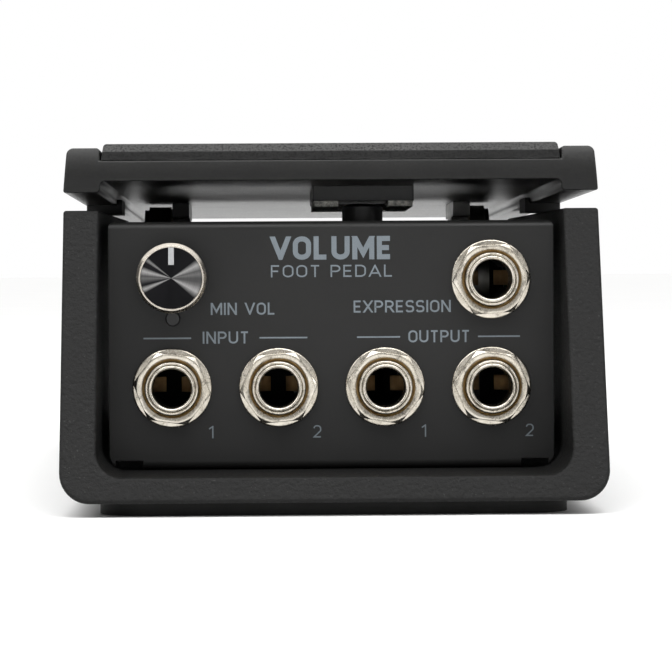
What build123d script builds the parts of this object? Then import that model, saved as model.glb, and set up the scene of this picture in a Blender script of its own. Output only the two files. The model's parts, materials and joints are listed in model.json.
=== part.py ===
from build123d import *
import math
import os

os.makedirs("parts", exist_ok=True)

# Foot volume pedal, millimetres. +X is to the right when facing the jack panel,
# +Y runs from the toe (jack) end to the heel, +Z is up. The origin is on the
# ground, below the middle of the pedal. The treadle is shown pressed toe down.

# Base channel
WIDTH = 90.0
BASE_LENGTH = 262.0
WALL = 6.0
PAD_T = 2.3
FLOOR_T = 4.1
WALL_TOP = 50.3
OUTER_R = 5.0
INNER_R = 4.3
END_SLOPE = 23.0
HEEL_EDGE = 22.0
EDGE_R = 0.5
PAD_W = 77.6
PAD_CORNER_R = 8.0

# Treadle, drawn level and then turned toe up to its rest position
AXIS_Y = 20.0
AXIS_Z = 46.0
REST_TILT = 0.75
SIDE_FALL = 15.5
TOE_Y = -111.0
HEEL_Y = 129.0
RAIL_BOTTOM = 51.6
RAIL_TOP = 59.1
RAIL_W = 6.2
RAIL_FLARE = 0.65
PLATE_BOTTOM = 53.5
PLATE_TOP = 57.0
DECK_EDGE_R = 0.3
CROWN_R = 14.4
CROWN_Z = 54.3
MAT_W = 77.2
MAT_SIDE_SLOPE = 0.4
MAT_TOP = 59.8
MAT_CORNER_R = 0.6
RIB_PITCH = 6.0
GROOVE_W = 2.0
GROOVE_DEPTH = 1.0
GROOVE_DRAFT = 0.3
FIRST_GROOVE = 7.0
MAT_INSET = 0.2
MAT_BEVEL = 1.35
BUMPER_T = 2.6
BUMPER_GAP = 0.3
BUMPER_LIP = 0.9
TOE_BUMPER_FRONT = -42.0
TOE_BUMPER_REAR = -28.0
HEEL_BUMPER_NEAR = 78.0
HEEL_BUMPER_FAR = 92.0

# Slide block that rides on the plunger
BLOCK_FRONT = -84.0
BLOCK_REAR = -50.0
BLOCK_HALF = 8.9
BLOCK_T = 2.65
BLOCK_CORNER_R = 0.3
FELT_T = 1.0
FELT_SLOT_HALF = 4.4
FELT_EDGE = 0.2

# Jack box
PANEL_Y = -107.5
PANEL_W = 75.3
PANEL_TOP = 48.4
SHEET = 1.5
BOX_REAR = -50.0
PANEL_GAP = 0.1
PANEL_LOW_R = 2.6
PANEL_FLANGE = 16.0
PANEL_NOTCH = 5.6
BEND_R = 1.3
SHIELD_FLANGE = 14.0
PANEL_TOP_R = 1.0

# Jacks and knob, as (x, z) on the panel
JACK_PITCH = 18.0
LOW_ROW = 20.3
HIGH_ROW = 38.4
PLUG_BORE_R = 3.25
BUSHING_R = 4.5
BUSHING_FACE = -112.0
SHOULDER_T = 1.5
JACK_REAR = -85.5
BOARD_T = 1.6
BOARD_HALF = 36.0
BOARD_LOW = 9.5
BOARD_HIGH = 46.4
LEAD_R = 0.3
JACK_W = 15.6
JACK_BELOW = 7.5
CONTACT_SLOT = (6.0, -1.6, 2.0)
CONTACT_T = 0.4
CONTACT_DIP = 1.3
NUT_AF = 11.5
NUT_T = 2.2
WASHER_R = 6.7
WASHER_T = 0.8
KNOB_X = -26.8
KNOB_Z = 38.9
KNOB_R = 5.85
KNOB_FACE_R = 5.15
KNOB_FRONT = -117.0
POT_BUSHING_R = 3.4
KEY_DROP = 6.9
KEY_R = 1.1
SMALL_POT_HALF = 5.0
SMALL_POT_DEPTH = 6.5
SMALL_POT_BELOW = 8.4
SMALL_POT_ABOVE = 5.5
KNOB_GAP = 1.0
KNOB_BEVEL = 0.6
KNOB_ROOM_R = 5.3
SMALL_NUT_R = 4.9
KNOB_RECESS = 1.2
POINTER_HALF = 0.47
POINTER_FROM = 2.2
POINTER_TO = 5.1

# Rack, pinion and volume potentiometer
POST_X = 6.2
POST_Y = -77.0
POST_R = 3.6
POST_FOOT = 9.0
CONTACT_GAP = 0.3
DOME_R = 12.0
MODULE = 0.8
TEETH = 12
PRESSURE = 20.0
RACK_PITCH_OFFSET = 2.2
RACK_ADDENDUM = 0.55
PINION_ADDENDUM = 0.6
ROOT_CLEARANCE = 0.2
BACKLASH = 0.12
PINION_Z = 38.0
PINION_W = 6.0
SHAFT_R = 3.0
VOLUME_POT_R = 8.4
GANG_T = 6.5
WAIST_T = 1.2
THIN_NUT_T = 1.6
RUNNING = 0.05
GUIDE_FOOT = 27.0
TAG_FOOT = 23.2
RIBBON_W = 10.0

# Hinge: from the inside out, a lug, a washer and a pillar on each side
SHAFT_HINGE_R = 4.0
BUSH_R = 5.0
HINGE_HEAD_R = 7.0
HINGE_X = 30.5
STACK_LEFT = 8.4
STACK_RIGHT = 7.0
LUG_T = 3.4
LUG_HALF_LENGTH = 14.0
LUG_FOOT_T = 3.0
WASHER_GAP = 0.55
FOOT_T = 6.0
FOOT_HALF = 15.0
FOOT_ROOT_R = 4.0
PILLAR_SCREW_DY = 10.0
LUG_SCREW_DY = 10.5
CLIP_R = 6.4
GROOVE_IN = 0.6
SHAFT_END = 1.2
CLIP_T = 0.8
CLIP_PLAY = 0.1

# Pot bracket
BRACKET_LEFT = -6.0
BRACKET_RIGHT = 13.0
BRACKET_FRONT = -74.0
BRACKET_REAR = -58.0
BRACKET_TOP = 45.5

# Screw radii
M4 = 2.0
M3 = 1.5
M25 = 1.25

# Values that follow from the ones above
HALF = WIDTH / 2
INNER = HALF - WALL
BASE_BOTTOM = PAD_T
FLOOR = PAD_T + FLOOR_T
FRONT = -BASE_LENGTH / 2
BACK = BASE_LENGTH / 2
FALL = math.radians(SIDE_FALL)
SLOPE = math.tan(math.radians(END_SLOPE))
TOP_OVER_AXIS = WALL_TOP - AXIS_Z
PEAK_Y = AXIS_Y + TOP_OVER_AXIS * math.tan(FALL / 2)
RAIL_INNER = HALF - RAIL_W
SLIDE_BOTTOM = PLATE_BOTTOM - BLOCK_T
PANEL_BACK = PANEL_Y + SHEET
LID_BOTTOM = PANEL_TOP - SHEET
PINION_R = MODULE * TEETH / 2
PINION_Y = POST_Y + RACK_PITCH_OFFSET + PINION_R
TOOTH_PITCH = math.pi * MODULE
JACKS = {
    "input_jack_1": (-1.5 * JACK_PITCH, LOW_ROW),
    "input_jack_2": (-0.5 * JACK_PITCH, LOW_ROW),
    "output_jack_1": (0.5 * JACK_PITCH, LOW_ROW),
    "output_jack_2": (1.5 * JACK_PITCH, LOW_ROW),
    "expression_jack": (1.5 * JACK_PITCH, HIGH_ROW),
}
NUT_TURNS = [52.0, 5.0, 51.0, 53.0, 3.5]
STACKS = {-1: STACK_LEFT, 1: STACK_RIGHT}
CLIPS = (
    -(HINGE_X + STACK_LEFT / 2 + CLIP_PLAY + CLIP_T),
    HINGE_X + STACK_RIGHT / 2 + CLIP_PLAY,
)
PILLAR_SCREWS = [
    (x, AXIS_Y + dy)
    for x in (-HINGE_X, HINGE_X)
    for dy in (-PILLAR_SCREW_DY, PILLAR_SCREW_DY)
]
CHASSIS_SCREWS = [(x, y) for x in (-22.0, 22.0) for y in (-97.0, -43.0)]
LUG_SCREWS = [
    (side * (HINGE_X - STACKS[side] / 2 + LUG_T / 2), AXIS_Y + dy)
    for side in (-1, 1)
    for dy in (-LUG_SCREW_DY, LUG_SCREW_DY)
]


def block(x0, x1, y0, y1, z0, z1):
    """Box between two opposite corners."""
    centre = Pos((x0 + x1) / 2, (y0 + y1) / 2, (z0 + z1) / 2)
    return centre * Box(x1 - x0, y1 - y0, z1 - z0)


def rod_x(r, x0, x1, y, z):
    """Cylinder along X."""
    return Pos((x0 + x1) / 2, y, z) * Rot(0, 90, 0) * Cylinder(r, x1 - x0)


def rod_y(r, x, y0, y1, z):
    """Cylinder along Y."""
    return Pos(x, (y0 + y1) / 2, z) * Rot(90, 0, 0) * Cylinder(r, y1 - y0)


def rod_z(r, x, y, z0, z1):
    """Cylinder along Z."""
    return Pos(x, y, (z0 + z1) / 2) * Cylinder(r, z1 - z0)


def side_slab(outline, x0, x1):
    """Prism along X whose (y, z) outline is given."""
    face = make_face(Plane.YZ.offset(x0) * Polyline(*outline, close=True))
    return extrude(face, amount=x1 - x0, dir=(1, 0, 0))


def front_slab(face, y0, y1):
    """Prism along Y of a face drawn in (x, z)."""
    plane = Plane((0, y0, 0), x_dir=(1, 0, 0), z_dir=(0, -1, 0))
    return extrude(plane * face, amount=y1 - y0, dir=(0, 1, 0))


def top_slab(face, z0, z1):
    """Prism along Z of a face drawn in (x, y)."""
    return extrude(Pos(0, 0, z0) * face, amount=z1 - z0, dir=(0, 0, 1))


def group(pieces):
    """Several solids kept as one node."""
    return Compound(children=list(pieces))


def save(shape, name):
    """Write one node's STEP file."""
    export_step(shape, f"parts/{name}.step")


def screw_sink(x, y, head_z, tip_z, r, down):
    """Room for a countersunk screw along Z; down is True when its head is at the top."""
    sign = -1 if down else 1
    middle = Pos(x, y, head_z + sign * r / 2)
    cone = middle * Cone(r, 2 * r, r) if down else middle * Cone(2 * r, r, r)
    return rod_z(r, x, y, min(head_z, tip_z), max(head_z, tip_z)) + cone


def countersunk_screw(x, y, head_z, tip_z, r, down):
    """Flat-head screw with a hexagon socket."""
    socket = Pos(x, y, head_z) * extrude(RegularPolygon(0.6 * r, 6), amount=r, both=True)
    return screw_sink(x, y, head_z, tip_z, r, down) - socket


def at_rest(shape):
    """A piece of the level treadle, turned about the hinge to its rest position."""
    return shape.rotate(Axis((0, AXIS_Y, AXIS_Z), (-1, 0, 0)), REST_TILT)


# ---- Base channel -------------------------------------------------------

def side_profile():
    """Side outline of the channel: slanted ends and a top that falls to the heel."""
    height = WALL_TOP - BASE_BOTTOM
    heel_top = HEEL_EDGE
    heel_y = BACK - (heel_top - BASE_BOTTOM) * SLOPE
    fall_top = WALL_TOP - (heel_y - PEAK_Y) * math.tan(FALL)
    return [
        (FRONT, BASE_BOTTOM),
        (BACK, BASE_BOTTOM),
        (heel_y, fall_top),
        (PEAK_Y, WALL_TOP),
        (FRONT + height * SLOPE, WALL_TOP),
    ]


def base_frame():
    outer = block(-HALF, HALF, FRONT, BACK, BASE_BOTTOM, WALL_TOP + WALL)
    low_edges = outer.edges().filter_by(Axis.Y).group_by(Axis.Z)[0]
    outer = fillet(low_edges, OUTER_R)
    hollow = block(-INNER, INNER, FRONT - 1, BACK + 1, FLOOR, WALL_TOP + 2 * WALL)
    hollow = fillet(hollow.edges().filter_by(Axis.Y).group_by(Axis.Z)[0], INNER_R)
    frame = (outer - hollow) & side_slab(side_profile(), -HALF, HALF)
    frame = fillet(frame.edges().filter_by(lambda e: e.center().Z > FLOOR + 0.1), EDGE_R)
    for x, y in PILLAR_SCREWS:
        frame -= screw_sink(x, y, BASE_BOTTOM, FLOOR + 1, M4, False)
    for x, y in CHASSIS_SCREWS:
        frame -= screw_sink(x, y, BASE_BOTTOM, FLOOR + 1, M3, False)
    return frame


def bottom_pad():
    plan = RectangleRounded(PAD_W, BASE_LENGTH - 10, PAD_CORNER_R)
    return top_slab(plan, 0, PAD_T)


# ---- Jack box -----------------------------------------------------------

def panel_outline(half, z0):
    """Front view of the panel, with small top corners and larger bottom ones."""
    face = make_face(Polyline((-half, z0), (half, z0), (half, PANEL_TOP), (-half, PANEL_TOP), close=True))
    face = fillet(face.vertices().group_by(Axis.Y)[0], PANEL_LOW_R)
    return fillet(face.vertices().group_by(Axis.Y)[-1], PANEL_TOP_R)


def jack_panel():
    """Sheet bent into a front panel, a lid and a bottom flange."""
    z0 = FLOOR + PANEL_GAP
    flange_back = PANEL_Y + PANEL_FLANGE
    outline = [
        (PANEL_Y, z0),
        (flange_back, z0),
        (flange_back, z0 + SHEET),
        (PANEL_BACK, z0 + SHEET),
        (PANEL_BACK, LID_BOTTOM),
        (BOX_REAR - 0.2, LID_BOTTOM),
        (BOX_REAR - 0.2, PANEL_TOP),
        (PANEL_Y, PANEL_TOP),
    ]
    half = PANEL_W / 2
    sheet = side_slab(outline, -half, half)
    bend = [e for e in sheet.edges().filter_by(Axis.X) if abs(e.center().Y - PANEL_Y) < 0.01]
    sheet = fillet(bend, BEND_R)
    sheet &= front_slab(panel_outline(half, z0), PANEL_Y - 1, BOX_REAR + 1)
    notch_in = half - PANEL_NOTCH
    for side in (-1, 1):
        ends = sorted((side * notch_in, side * (half - PANEL_TOP_R)))
        sheet -= block(ends[0], ends[1], PANEL_Y - 1, PANEL_BACK, z0 - 1, z0 + SHEET)
        ends = sorted((side * notch_in, side * (half + 1)))
        sheet -= block(ends[0], ends[1], PANEL_BACK, flange_back + 1, z0 - 1, z0 + SHEET + 0.01)
    for x, z in JACKS.values():
        sheet -= rod_y(BUSHING_R + 0.1, x, PANEL_Y - 1, PANEL_BACK + 1, z)
    sheet -= rod_y(POT_BUSHING_R + 0.1, KNOB_X, PANEL_Y - 1, PANEL_BACK + 1, KNOB_Z)
    sheet -= rod_y(KEY_R + 0.1, KNOB_X, PANEL_Y - 1, PANEL_BACK + 1, KNOB_Z - KEY_DROP)
    sheet -= rod_z(BUSH_R, POST_X, POST_Y, LID_BOTTOM - 1, PANEL_TOP + 1)
    for x, y in CHASSIS_SCREWS[:1] + CHASSIS_SCREWS[2:3]:
        sheet -= rod_z(M3, x, y, z0 - 1, z0 + SHEET + 1)
    return sheet


def rear_shield():
    """Rear wall of the jack box, with a foot flange behind it."""
    z0 = FLOOR + PANEL_GAP
    outline = [
        (BOX_REAR, z0),
        (BOX_REAR + SHIELD_FLANGE, z0),
        (BOX_REAR + SHIELD_FLANGE, z0 + SHEET),
        (BOX_REAR + SHEET, z0 + SHEET),
        (BOX_REAR + SHEET, PANEL_TOP),
        (BOX_REAR, PANEL_TOP),
    ]
    half = PANEL_W / 2 - INNER_R
    shield = side_slab(outline, -half, half)
    for x, y in CHASSIS_SCREWS[1:2] + CHASSIS_SCREWS[3:4]:
        shield -= rod_z(M3, x, y, z0 - 1, z0 + SHEET + 1)
    return shield


def jack_bushing(x, z):
    """Threaded metal sleeve with a shoulder behind the panel."""
    sleeve = rod_y(BUSHING_R, x, BUSHING_FACE, PANEL_BACK, z)
    sleeve = fillet(sleeve.edges().group_by(Axis.Y)[0], 0.7)
    sleeve += rod_y(WASHER_R - 0.2, x, PANEL_BACK, PANEL_BACK + SHOULDER_T, z)
    return sleeve - rod_y(PLUG_BORE_R, x, BUSHING_FACE - 1, PANEL_BACK + SHOULDER_T + 1, z)


def jack_body(x, z):
    """Moulded jack body, open along the plug path and slotted for its contacts."""
    front = PANEL_BACK + SHOULDER_T
    body = block(x - JACK_W / 2, x + JACK_W / 2, front, JACK_REAR, z - JACK_BELOW, z + JACK_BELOW)
    body = chamfer(body.edges().filter_by(Axis.Y), 1.0)
    body -= rod_y(PLUG_BORE_R + 0.2, x, front - 1, JACK_REAR + 1, z)
    half, low, high = CONTACT_SLOT
    return body - block(x - half, x + half, front + 3, JACK_REAR + 1, z + low, z + high)


def jack_contact(x, z, side):
    """Leaf spring beside the plug path, bent so that its middle dips into it."""
    root = JACK_REAR - 0.6
    bend = root - 8.5
    tip = root - 11.0
    outline = [
        (5.4, root),
        (4.9, root),
        (CONTACT_DIP, bend),
        (3.6, tip),
        (4.0, tip - CONTACT_T / 2),
        (CONTACT_DIP + 1.5 * CONTACT_T, bend),
    ]
    face = make_face(Polyline(*[(x + side * across, y) for across, y in outline], close=True))
    return top_slab(face, z + CONTACT_SLOT[1] + 0.5, z + CONTACT_SLOT[2] - 0.5)


def jack_nut(x, z, turn):
    """Hexagon nut on the bushing, chamfered on its front corners."""
    y_back = PANEL_Y - WASHER_T
    y_front = y_back - NUT_T
    circum = NUT_AF / 2 / math.cos(math.radians(30))
    plane = Plane((x, y_back, z), x_dir=(1, 0, 0), z_dir=(0, -1, 0))
    hexagon = extrude(plane * Rot(0, 0, turn) * RegularPolygon(circum, 6), amount=NUT_T)
    rim = Plane((x, y_back - NUT_T / 2, z), x_dir=(1, 0, 0), z_dir=(0, -1, 0))
    dome = rim * Cone(circum + NUT_T / 1.2, circum - 0.55, NUT_T)
    return (hexagon & dome) - rod_y(BUSHING_R, x, y_front - 1, y_back + 1, z)


def jack_washer(x, z):
    ring = rod_y(WASHER_R, x, PANEL_Y - WASHER_T, PANEL_Y, z)
    return ring - rod_y(BUSHING_R, x, PANEL_Y - WASHER_T - 1, PANEL_Y + 1, z)


def jack_board():
    """Circuit board across the rear of the jacks, with a way through for each plug tip."""
    board = block(-BOARD_HALF, BOARD_HALF, JACK_REAR, JACK_REAR + BOARD_T, BOARD_LOW, BOARD_HIGH)
    for x, z in JACKS.values():
        board -= rod_y(PLUG_BORE_R + 0.75, x, JACK_REAR - 1, JACK_REAR + 3, z)
    return board


def board_part(x, z, length):
    """Axial resistor lying along Z on the rear of the board."""
    back = JACK_REAR + BOARD_T
    axis = back + 1.4
    reach = length / 2 + 2
    body = rod_z(1.1, x, axis, z - length / 2, z + length / 2)
    lead = rod_z(LEAD_R, x, axis, z - reach, z + reach)
    legs = [rod_y(LEAD_R, x, back, axis, z + s * reach) for s in (-1, 1)]
    return body + lead + legs[0] + legs[1]


def min_vol_pot():
    """Small potentiometer behind the panel, with its locating key through the panel."""
    x0, x1 = KNOB_X - SMALL_POT_HALF, KNOB_X + SMALL_POT_HALF
    z0, z1 = KNOB_Z - SMALL_POT_BELOW, KNOB_Z + SMALL_POT_ABOVE
    body = block(x0, x1, PANEL_BACK, PANEL_BACK + SMALL_POT_DEPTH, z0, z1)
    bushing = rod_y(POT_BUSHING_R, KNOB_X, PANEL_Y - 2.6, PANEL_BACK, KNOB_Z)
    key = rod_y(KEY_R, KNOB_X, PANEL_Y - 0.8, PANEL_BACK, KNOB_Z - KEY_DROP)
    bore = rod_y(SHAFT_R + RUNNING, KNOB_X, PANEL_Y - 4, PANEL_BACK + 3.55, KNOB_Z)
    return body + bushing + key - bore


def min_vol_nut():
    """Thin nut that clamps the potentiometer to the panel."""
    plane = Plane((KNOB_X, PANEL_Y, KNOB_Z), x_dir=(1, 0, 0), z_dir=(0, -1, 0))
    hexagon = extrude(plane * RegularPolygon(SMALL_NUT_R, 6), amount=THIN_NUT_T)
    return hexagon - rod_y(POT_BUSHING_R, KNOB_X, PANEL_Y - 3, PANEL_Y + 1, KNOB_Z)


def min_vol_shaft():
    """Turning shaft of the minimum volume potentiometer."""
    return rod_y(SHAFT_R, KNOB_X, KNOB_FRONT + 2, PANEL_BACK + 3.5, KNOB_Z)


def min_vol_knob():
    """Knob skirt with a bevelled metal rim round a recessed face."""
    back = PANEL_Y - KNOB_GAP
    skirt = rod_y(KNOB_R, KNOB_X, KNOB_FRONT, back, KNOB_Z)
    skirt = chamfer(skirt.edges().group_by(Axis.Y)[0], KNOB_BEVEL)
    recess = rod_y(KNOB_FACE_R, KNOB_X, KNOB_FRONT - 1, KNOB_FRONT + KNOB_RECESS, KNOB_Z)
    room = rod_y(KNOB_ROOM_R, KNOB_X, PANEL_Y - 3.2, PANEL_Y, KNOB_Z)
    shaft_hole = rod_y(SHAFT_R, KNOB_X, KNOB_FRONT + 2, PANEL_Y, KNOB_Z)
    return skirt - recess - room - shaft_hole


def min_vol_cap():
    """Spun metal disc set in the knob's face."""
    disc = rod_y(KNOB_FACE_R - 0.08, KNOB_X, KNOB_FRONT + 0.15, KNOB_FRONT + KNOB_RECESS, KNOB_Z)
    return disc - pointer_block(KNOB_FRONT - 1, KNOB_FRONT + 0.6)


def pointer_block(y0, y1):
    """Room for the pointer inlay between two depths."""
    x0, x1 = KNOB_X - POINTER_HALF, KNOB_X + POINTER_HALF
    return block(x0, x1, y0, y1, KNOB_Z + POINTER_FROM, KNOB_Z + POINTER_TO)


def min_vol_pointer():
    """Pale inlay that shows the knob's setting."""
    return pointer_block(KNOB_FRONT + 0.05, KNOB_FRONT + 0.6)


# ---- Rack, pinion and volume potentiometer ------------------------------

def rack_plunger():
    """Domed round post with a rack cut along its rear."""
    rest = math.radians(REST_TILT)
    slide_z = AXIS_Z + (SLIDE_BOTTOM - AXIS_Z) / math.cos(rest) + (AXIS_Y - POST_Y) * math.tan(rest)
    dome_top = slide_z - CONTACT_GAP
    post = rod_z(POST_R, POST_X, POST_Y, POST_FOOT, dome_top)
    post &= Pos(POST_X, POST_Y, dome_top - DOME_R) * Sphere(DOME_R) + rod_z(
        POST_R, POST_X, POST_Y, POST_FOOT, dome_top - DOME_R + 3
    )
    pitch_y = POST_Y + RACK_PITCH_OFFSET
    tip_y = pitch_y + RACK_ADDENDUM
    root_y = pitch_y - PINION_ADDENDUM - ROOT_CLEARANCE
    flat_top = PINION_Z + 2.6 * TOOTH_PITCH
    post -= block(POST_X - POST_R, POST_X + POST_R, tip_y, tip_y + POST_R, POST_FOOT, flat_top)
    slope = math.tan(math.radians(PRESSURE))
    half_gap = (TOOTH_PITCH / 2 + BACKLASH) / 2
    wide = half_gap + (RACK_ADDENDUM + 0.5) * slope
    narrow = half_gap - (pitch_y - root_y) * slope
    for k in range(-11, 3):
        z = PINION_Z + k * TOOTH_PITCH
        space = [
            (root_y, z - narrow),
            (tip_y + 0.5, z - wide),
            (tip_y + 0.5, z + wide),
            (root_y, z + narrow),
        ]
        post -= side_slab(space, POST_X - POST_R - 1, POST_X + POST_R + 1)
    return post


def involute(angle):
    """Involute function of a pressure angle."""
    return math.tan(angle) - angle


def pinion_outline():
    """Points of the pinion's edge, with one tooth pointing at the rack."""
    base_r = PINION_R * math.cos(math.radians(PRESSURE))
    root_r = PINION_R - RACK_ADDENDUM - ROOT_CLEARANCE
    tip_r = PINION_R + PINION_ADDENDUM
    half_tooth = (TOOTH_PITCH / 2 - BACKLASH) / (2 * PINION_R)
    at_pitch = half_tooth + involute(math.radians(PRESSURE))
    steps = 5
    radii = [base_r + (tip_r - base_r) * i / steps for i in range(steps + 1)]
    flank = [(root_r, at_pitch)]
    flank += [(r, at_pitch - involute(math.acos(base_r / r))) for r in radii]
    points = []
    for tooth in range(TEETH):
        middle = math.pi + tooth * 2 * math.pi / TEETH
        for r, half in flank:
            points.append((r, middle - half))
        for r, half in reversed(flank):
            points.append((r, middle + half))
    return [(PINION_Y + r * math.cos(a), PINION_Z + r * math.sin(a)) for r, a in points]


def pinion_gear():
    x0 = POST_X - PINION_W / 2
    gear = side_slab(pinion_outline(), x0, x0 + PINION_W)
    hub = rod_x(4.0, x0 + PINION_W, x0 + PINION_W + 1.5, PINION_Y, PINION_Z)
    bore = rod_x(SHAFT_R, x0 - 1, x0 + PINION_W + 3, PINION_Y, PINION_Z)
    return gear + hub - bore


def volume_pot_shaft():
    x1 = BRACKET_RIGHT + SHEET + 4.0
    return rod_x(SHAFT_R, BRACKET_LEFT - 0.5, x1, PINION_Y, PINION_Z)


def pot_bracket():
    """Sheet bracket with an upright on each side of the pinion."""
    z0 = FLOOR + PANEL_GAP
    foot = block(BRACKET_LEFT, BRACKET_RIGHT + SHEET, BRACKET_FRONT, BRACKET_REAR, z0, z0 + SHEET)
    left = block(BRACKET_LEFT, BRACKET_LEFT + SHEET, BRACKET_FRONT, BRACKET_REAR, z0, BRACKET_TOP)
    right = block(BRACKET_RIGHT, BRACKET_RIGHT + SHEET, BRACKET_FRONT, BRACKET_REAR, z0, BRACKET_TOP)
    bracket = foot + left + right
    bracket -= rod_x(SHAFT_R + RUNNING, BRACKET_LEFT - 1, BRACKET_LEFT + 3, PINION_Y, PINION_Z)
    bracket -= rod_x(POT_BUSHING_R, BRACKET_RIGHT - 1, BRACKET_RIGHT + 3, PINION_Y, PINION_Z)
    return bracket


def volume_pot():
    """Two-gang potentiometer can with a threaded bushing through the bracket."""
    x0 = BRACKET_RIGHT + SHEET
    x1 = x0 + GANG_T
    x2 = x1 + WAIST_T
    can = rod_x(VOLUME_POT_R, x0, x1, PINION_Y, PINION_Z)
    waist = rod_x(VOLUME_POT_R - 1.2, x1, x2, PINION_Y, PINION_Z)
    rear = rod_x(VOLUME_POT_R, x2, x2 + GANG_T, PINION_Y, PINION_Z)
    bushing = rod_x(POT_BUSHING_R, BRACKET_RIGHT - 1.8, x0, PINION_Y, PINION_Z)
    bore = rod_x(SHAFT_R + RUNNING, BRACKET_RIGHT - 4, x0 + 4.05, PINION_Y, PINION_Z)
    return can + waist + rear + bushing - bore


def volume_pot_nut():
    plane = Plane.YZ.offset(BRACKET_RIGHT - THIN_NUT_T)
    spot = Pos(PINION_Y, PINION_Z)
    hexagon = extrude(plane * spot * RegularPolygon(5.5, 6), amount=THIN_NUT_T, dir=(1, 0, 0))
    return hexagon - rod_x(POT_BUSHING_R, BRACKET_RIGHT - 3, BRACKET_RIGHT + 1, PINION_Y, PINION_Z)


def volume_pot_terminals():
    """Six solder tags under the two gangs."""
    x0 = BRACKET_RIGHT + SHEET
    tags = []
    for gang in (2.0, 2.0 + GANG_T + WAIST_T):
        for dy in (-4.0, 0.0, 4.0):
            y = PINION_Y + dy
            inner_edge = max(abs(dy) - 0.8, 0.0)
            top = PINION_Z - math.sqrt(VOLUME_POT_R ** 2 - inner_edge ** 2)
            tags.append(block(x0 + gang, x0 + gang + 0.6, y - 0.8, y + 0.8, TAG_FOOT, top))
    return group(tags)


def rewind_spring():
    """Flat spiral spring round the shaft that keeps the plunger pressed upwards."""
    turns = 4.25
    strip = 0.3
    r0 = SHAFT_R + 0.6
    growth = 1.05
    start = math.radians(100)
    inner, outer = [], []
    steps = 51
    for i in range(steps + 1):
        a = 2 * math.pi * turns * i / steps
        r = r0 + growth * a / (2 * math.pi)
        c, s = math.cos(start + a), math.sin(start + a)
        inner.append((PINION_Y + r * c, PINION_Z + r * s))
        outer.append((PINION_Y + (r + strip) * c, PINION_Z + (r + strip) * s))
    plane = Plane.YZ.offset(BRACKET_LEFT + SHEET + 1)
    edges = [
        Spline(*inner),
        Line(inner[-1], outer[-1]),
        Spline(*reversed(outer)),
        Line(outer[0], inner[0]),
    ]
    face = make_face([plane * e for e in edges])
    return extrude(face, amount=3.5, dir=(1, 0, 0))


def plunger_guide():
    """Moulded guide under the lid: a ring at its foot, and open behind where the pinion is."""
    guide = block(POST_X - 5.2, POST_X + 5.2, POST_Y - 5.2, POST_Y + 5.6, GUIDE_FOOT, LID_BOTTOM)
    guide -= rod_z(POST_R + RUNNING, POST_X, POST_Y, GUIDE_FOOT - 1, LID_BOTTOM + 1)
    open_from = PINION_Z - PINION_R - 2.2
    guide -= block(POST_X - 6, POST_X + 6, POST_Y + 0.4, POST_Y + 7, open_from, LID_BOTTOM + 1)
    return guide


def plunger_bush():
    """Plain bush pressed into the lid, flush with the sheet on both sides."""
    bush = rod_z(BUSH_R, POST_X, POST_Y, LID_BOTTOM, PANEL_TOP)
    return bush - rod_z(POST_R + RUNNING, POST_X, POST_Y, LID_BOTTOM - 1, PANEL_TOP + 2)


def signal_ribbon():
    """Flat cable from the volume potentiometer's tags down and forward to the board."""
    x0 = BRACKET_RIGHT + SHEET + 2.5
    t = 0.7
    low = 12.0
    z_tag = TAG_FOOT
    back = JACK_REAR + BOARD_T
    lead_y = PINION_Y - 6.5
    outline = [
        (back, low),
        (lead_y, low),
        (lead_y, z_tag),
        (PINION_Y + 4.5, z_tag),
        (PINION_Y + 4.5, z_tag - t),
        (lead_y + t, z_tag - t),
        (lead_y + t, low - t),
        (back, low - t),
    ]
    return side_slab(outline, x0, x0 + RIBBON_W)


# ---- Hinge --------------------------------------------------------------

def pillar_span(side):
    """Lowest and highest x of a pillar's upright."""
    half = STACKS[side] / 2
    return sorted((side * (HINGE_X - half + LUG_T + WASHER_GAP), side * (HINGE_X + half)))


def hinge_pillar(side):
    """Upright with a broad foot and a round head that carries the hinge bush."""
    x0, x1 = pillar_span(side)
    half = STACKS[side] / 2
    foot_x = side * HINGE_X
    r = HINGE_HEAD_R
    pillar = block(x0, x1, AXIS_Y - r, AXIS_Y + r, FLOOR, AXIS_Z)
    pillar += rod_x(r, x0, x1, AXIS_Y, AXIS_Z)
    pillar += block(x0, x1, AXIS_Y - FOOT_HALF, AXIS_Y + FOOT_HALF, FLOOR, FLOOR + FOOT_T)
    root = [
        e for e in pillar.edges().filter_by(Axis.X)
        if abs(e.center().Z - FLOOR - FOOT_T) < 0.01 and abs(abs(e.center().Y - AXIS_Y) - r) < 0.01
    ]
    pillar = fillet(root, FOOT_ROOT_R)
    foot_y0, foot_y1 = AXIS_Y - FOOT_HALF, AXIS_Y + FOOT_HALF
    pillar += block(foot_x - half, foot_x + half, foot_y0, foot_y1, FLOOR, FLOOR + FOOT_T)
    pillar -= rod_x(BUSH_R, x0 - 1, x1 + 1, AXIS_Y, AXIS_Z)
    for x, y in PILLAR_SCREWS:
        if x * side > 0:
            pillar -= rod_z(M4, x, y, FLOOR - 1, FLOOR + 4.5)
    return pillar


def hinge_bush(side):
    x0, x1 = pillar_span(side)
    ring = rod_x(BUSH_R, x0, x1, AXIS_Y, AXIS_Z)
    return ring - rod_x(SHAFT_HINGE_R + RUNNING, x0 - 1, x1 + 1, AXIS_Y, AXIS_Z)


def friction_washer(side):
    """Washer between a lug and the pillar beside it."""
    lug_face = HINGE_X - STACKS[side] / 2 + LUG_T
    ends = sorted((side * (lug_face + 0.05), side * (lug_face + WASHER_GAP)))
    ring = rod_x(HINGE_HEAD_R - 0.4, ends[0], ends[1], AXIS_Y, AXIS_Z)
    return ring - rod_x(SHAFT_HINGE_R + RUNNING, ends[0] - 1, ends[1] + 1, AXIS_Y, AXIS_Z)


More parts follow.
